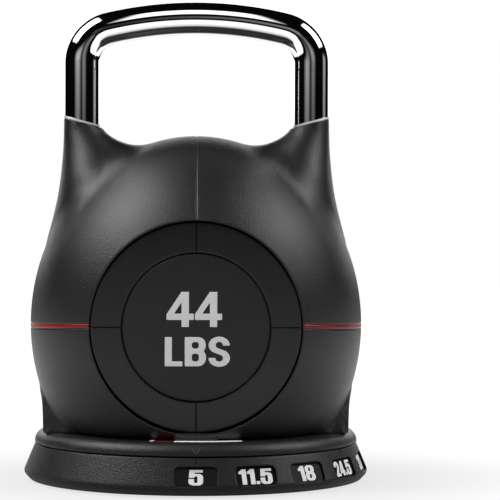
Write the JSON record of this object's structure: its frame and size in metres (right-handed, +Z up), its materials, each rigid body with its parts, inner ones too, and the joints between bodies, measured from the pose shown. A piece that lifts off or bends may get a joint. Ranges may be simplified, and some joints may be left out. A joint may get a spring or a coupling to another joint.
{
  "type": "adjustable kettlebell with dial base",
  "caption": "Adjustable kettlebell: chromed handle on a round shell that turns on a dial base to pick up stacked cast plates.",
  "frame": {"origin": "centre of the base's underside, on the floor the feet stand on", "axes": "+Z up through the handle, +X along the grip to the right, -Y towards the front badge and the first dial number"},
  "size_m": [0.2488, 0.2488, 0.344],
  "materials": {
    "shell_black": "fine-grained matte moulding",
    "ring_black": "smooth satin",
    "badge_black": "fine-grained satin",
    "band_red": "satin red inlay",
    "chrome_handle": "mirror polished chrome plate",
    "collar_silver": "bright trim",
    "frame_steel": "black e-coat",
    "bright_steel": "zinc plated",
    "cast_plate": "black coated casting",
    "moulded_black": "moulded nylon",
    "base_black": "fine-grained matte moulding",
    "foot_rubber": "plain rubber",
    "glide_white": "acetal",
    "label_white": "printed film",
    "label_red": "printed film"
  },
  "bodies": {
    "base": {"base_pan": "base_black", "number_ring": "base_black", "foot_1": "foot_rubber", "foot_2": "foot_rubber", "foot_3": "foot_rubber", "foot_4": "foot_rubber", "hub_disc": "base_black", "hub_key": "moulded_black", "hub_screw_1": "bright_steel", "hub_screw_2": "bright_steel", "hub_screw_3": "bright_steel", "glide_ring": "glide_white", "detent_spring": "bright_steel"},
    "detent": {"detent_ball": "bright_steel"},
    "turntable": {"turntable_cover": "base_black", "post_left": "base_black", "post_right": "base_black", "strip_red": "label_red", "strip_white": "label_white"},
    "plate_1": {"plate_1": "cast_plate", "plate_key_1": "moulded_black"},
    "plate_2": {"plate_2": "cast_plate", "plate_key_2": "moulded_black"},
    "plate_3": {"plate_3": "cast_plate", "plate_key_3": "moulded_black"},
    "plate_4": {"plate_4": "cast_plate", "plate_key_4": "moulded_black"},
    "plate_5": {"plate_5": "cast_plate", "plate_key_5": "moulded_black"},
    "plate_6": {"plate_6": "cast_plate", "plate_key_6": "moulded_black"},
    "pad": {"thrust_pad": "moulded_black", "spindle": "bright_steel", "spindle_clip": "bright_steel"},
    "kettlebell": {"handle_tube": "chrome_handle", "collar_left": "collar_silver", "collar_right": "collar_silver", "leg_plug_left": "frame_steel", "leg_plug_right": "frame_steel", "bridge_bolt_left": "bright_steel", "bridge_bolt_right": "bright_steel", "crown_bridge": "frame_steel", "hook_rail_left": "frame_steel", "hook_rail_right": "frame_steel", "shell_upper_left": "shell_black", "shell_upper_right": "shell_black", "shell_lower_left": "shell_black", "shell_lower_right": "shell_black", "band_left": "band_red", "band_right": "band_red", "face_ring_front": "ring_black", "face_ring_rear": "ring_black", "badge_front": "badge_black", "badge_rear": "badge_black", "front_tab": "base_black", "lock_spring_left": "bright_steel", "lock_spring_right": "bright_steel"},
    "lock": {"lock_ring": "moulded_black", "lock_rod_left": "bright_steel", "lock_rod_right": "bright_steel"}
  },
  "joints": [
    {"name": "selector_turn", "type": "hinge", "parent": "pad", "child": "kettlebell", "pos_m": [0, 0, 0.2], "axis": [0, 0, 1], "range_deg": [0, 120]},
    {"name": "turntable_turn", "type": "hinge", "parent": "base", "child": "turntable", "pos_m": [0, 0, 0.03], "axis": [0, 0, 1], "range_deg": [0, 120]},
    {"name": "detent_click", "type": "slide", "parent": "base", "child": "detent", "axis": [0, 0, 1], "range_m": [0, 0.0012], "deforming": ["detent_spring"]},
    {"name": "plate_6_lift", "type": "slide", "parent": "base", "child": "plate_6", "axis": [0, 0, 1], "range_m": [0, 0.04]},
    {"name": "plate_5_lift", "type": "slide", "parent": "plate_6", "child": "plate_5", "axis": [0, 0, 1], "range_m": [0, 0.066]},
    {"name": "plate_4_lift", "type": "slide", "parent": "plate_5", "child": "plate_4", "axis": [0, 0, 1], "range_m": [0, 0.092]},
    {"name": "plate_3_lift", "type": "slide", "parent": "plate_4", "child": "plate_3", "axis": [0, 0, 1], "range_m": [0, 0.118]},
    {"name": "plate_2_lift", "type": "slide", "parent": "plate_3", "child": "plate_2", "axis": [0, 0, 1], "range_m": [0, 0.144]},
    {"name": "plate_1_lift", "type": "slide", "parent": "plate_2", "child": "plate_1", "axis": [0, 0, 1], "range_m": [0, 0.17]},
    {"name": "kettlebell_lift", "type": "slide", "parent": "plate_1", "child": "pad", "axis": [0, 0, 1], "range_m": [0, 0.196]},
    {"name": "lock_drop", "type": "slide", "parent": "kettlebell", "child": "lock", "axis": [0, 0, -1], "range_m": [0, 0.006], "deforming": ["lock_spring_left", "lock_spring_right"]}
  ],
  "couplings": [
    {"joint": "turntable_turn", "follows": "selector_turn", "ratio": 1}
  ]
}
